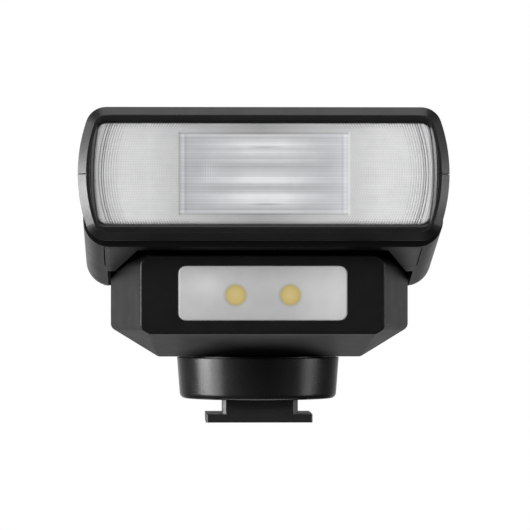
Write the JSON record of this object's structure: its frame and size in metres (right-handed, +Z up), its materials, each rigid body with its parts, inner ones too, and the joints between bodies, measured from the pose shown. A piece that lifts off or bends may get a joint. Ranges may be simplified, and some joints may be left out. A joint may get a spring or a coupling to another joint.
{
  "type": "speedlight flash",
  "caption": "Compact hot-shoe flash: wide Fresnel head that tilts up, faceted body with an LED lamp window, round swivelling base and shoe foot.",
  "frame": {"origin": "centre of the shoe foot's bottom face", "axes": "+Z up out of the camera's shoe, -Y the way the flash faces, +X to the right seen from the front"},
  "size_m": [0.062, 0.08, 0.0538],
  "materials": {
    "foot_metal": "satin black plated",
    "black_case": "fine matte texture",
    "black_satin": "satin",
    "steel": "bright",
    "dark_steel": "black oxide",
    "contact_gold": "plated",
    "insulator": "smooth",
    "clear_lens": "moulded clear ribs",
    "led_window": "frosted",
    "phosphor": "phosphor coating",
    "white_plastic": "satin white",
    "bright_reflector": "bright anodised",
    "tube_glass": "clear",
    "silicone": "soft",
    "circuit_board": "solder resist",
    "chips": "moulded",
    "capacitor_sleeve": "shrink sleeve",
    "coil_tape": "wound tape",
    "cell_sleeve": "printed-free sleeve",
    "lamp_plastic": "clear red",
    "button_rubber": "matte"
  },
  "bodies": {
    "base": {"shoe_foot": "foot_metal", "shoe_foot_screws": "dark_steel", "contact_insulator": "insulator", "shoe_contacts": "contact_gold", "swivel_base": "black_satin", "swivel_base_cover": "black_case", "swivel_retaining_ring": "steel", "retaining_ring_screws": "steel"},
    "lock_lever": {"lock_lever": "black_satin"},
    "lock_pin": {"shoe_lock_pin": "steel"},
    "body": {"led_housing": "black_case", "led_window": "led_window", "led_reflector_tray": "white_plastic", "led_board": "white_plastic", "led_emitters": "phosphor", "body_front_shell": "black_case", "tilt_axles": "steel", "body_rear_shell": "black_case", "rear_panel": "black_satin", "rear_panel_screws": "dark_steel", "status_lamps": "lamp_plastic", "switch_board": "circuit_board", "tactile_switches": "steel", "main_circuit_board": "circuit_board", "board_components": "chips", "flash_capacitor": "capacitor_sleeve", "charging_transformer": "coil_tape", "aaa_cells": "cell_sleeve", "battery_tray": "insulator", "battery_spring_terminals": "steel", "door_hinge_pin": "steel"},
    "head": {"head_upper_shell": "black_case", "head_lower_shell": "black_case", "head_bottom_cover": "black_case", "head_screws": "dark_steel", "lens_bezel": "black_satin", "fresnel_lens": "clear_lens", "lens_back_panel": "white_plastic", "flash_reflector": "bright_reflector", "xenon_tube": "tube_glass", "tube_electrodes": "steel", "tube_sleeves": "silicone", "trigger_coil": "coil_tape"},
    "battery_door": {"battery_door": "black_case", "door_contact_plate": "contact_gold"},
    "power_switch": {"power_switch_knob": "black_satin"},
    "test_button": {"test_button": "button_rubber"},
    "mode_button": {"mode_button": "button_rubber"},
    "led_button": {"led_button": "button_rubber"}
  },
  "joints": [
    {"name": "body_swivel", "type": "hinge", "parent": "base", "child": "body", "pos_m": [0, 0, 0.0115], "axis": [0, 0, 1], "range_deg": [-90, 180]},
    {"name": "head_tilt", "type": "hinge", "parent": "body", "child": "head", "pos_m": [0, -0.0035, 0.037], "axis": [-1, 0, 0], "range_deg": [0, 90]},
    {"name": "battery_door_hinge", "type": "hinge", "parent": "body", "child": "battery_door", "pos_m": [0.025, 0.0275, 0.0173], "axis": [0, 1, 0], "range_deg": [0, 100]},
    {"name": "lock_lever_turn", "type": "hinge", "parent": "base", "child": "lock_lever", "pos_m": [0, 0, 0.007], "axis": [0, 0, -1], "range_deg": [0, 45]},
    {"name": "lock_pin_drop", "type": "slide", "parent": "base", "child": "lock_pin", "axis": [0, 0, -1], "range_m": [0, 0.0014]},
    {"name": "power_switch_slide", "type": "slide", "parent": "body", "child": "power_switch", "axis": [-1, 0, 0], "range_m": [0, 0.003]},
    {"name": "test_button_press", "type": "slide", "parent": "body", "child": "test_button", "axis": [0, -1, 0], "range_m": [0, 0.0005], "stiffness_N_per_m": 1200},
    {"name": "mode_button_press", "type": "slide", "parent": "body", "child": "mode_button", "axis": [0, -1, 0], "range_m": [0, 0.0005], "stiffness_N_per_m": 1200},
    {"name": "led_button_press", "type": "slide", "parent": "body", "child": "led_button", "axis": [0, -1, 0], "range_m": [0, 0.0005], "stiffness_N_per_m": 1200}
  ],
  "couplings": [
    {"joint": "lock_pin_drop", "follows": "lock_lever_turn", "m_per_rad": 0.0017825}
  ]
}
